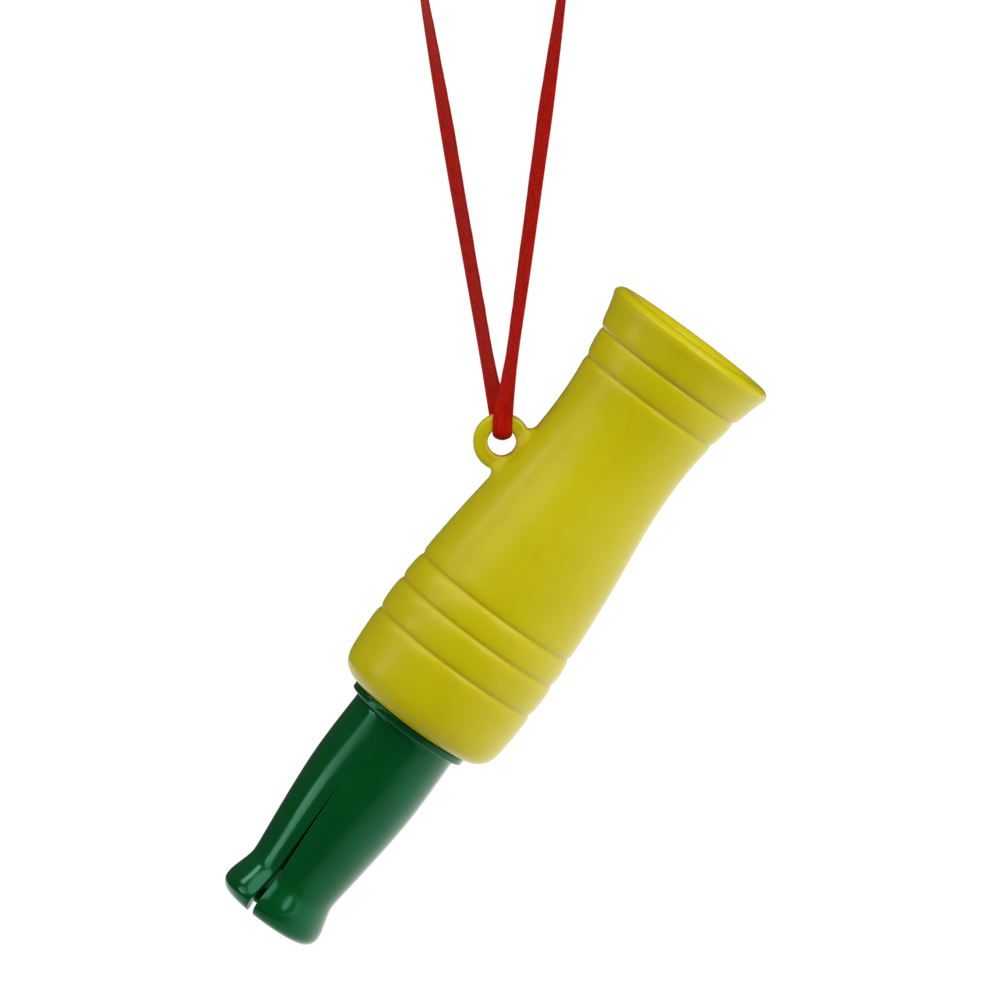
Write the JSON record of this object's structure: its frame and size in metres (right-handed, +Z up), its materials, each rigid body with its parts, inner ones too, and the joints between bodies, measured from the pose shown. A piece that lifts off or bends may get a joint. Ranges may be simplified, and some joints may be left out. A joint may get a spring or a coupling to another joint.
{
  "type": "training whistle",
  "caption": "Reed-type training whistle: a grooved barrel with a flared mouth end and a side eye, a slotted exhaust insert that pulls out, and a ribbon loop it hangs from.",
  "frame": {"origin": "the point where the ribbon loop's inside top bears on whatever holds the whistle up", "axes": "+Z up; the whistle hangs below with its axis 36.5 degrees from vertical in the XZ plane, mouth end up and towards +X; +Y is along the eye's hole"},
  "size_m": [0.1018, 0.0352, 0.2],
  "materials": {
    "barrel_plastic": "satin",
    "insert_plastic": "gloss",
    "board_plastic": "satin",
    "reed_film": "satin",
    "wedge_cork": "matte",
    "seal_rubber": "matte",
    "ribbon": "satin"
  },
  "bodies": {
    "lanyard": {"lanyard_ribbon": "ribbon", "lanyard_knot": "ribbon"},
    "barrel": {"barrel": "barrel_plastic"},
    "seal": {"seal_ring": "seal_rubber"},
    "insert": {"insert": "insert_plastic", "tone_board": "board_plastic", "reed_root": "reed_film", "wedge": "wedge_cork"},
    "reed": {"reed_tongue": "reed_film"}
  },
  "joints": [
    {"name": "eye_swing", "type": "hinge", "parent": "lanyard", "child": "barrel", "pos_m": [0.0019, 0, -0.1034], "axis": [0, 1, 0], "range_deg": [-20, 100]},
    {"name": "insert_pull", "type": "slide", "parent": "barrel", "child": "seal", "axis": [-0.5948, 0, -0.8039], "range_m": [0, 0.052]},
    {"name": "insert_twist", "type": "hinge", "parent": "seal", "child": "insert", "pos_m": [-0.008, 0, -0.14621], "axis": [0.5948, 0, 0.8039], "continuous": true},
    {"name": "reed_flex", "type": "hinge", "parent": "insert", "child": "reed", "pos_m": [-0.00443, -0.00045, -0.14138], "axis": [0.8039, 0, -0.5948], "range_deg": [-2.3, 3], "stiffness_Nm_per_rad": 0.01}
  ]
}
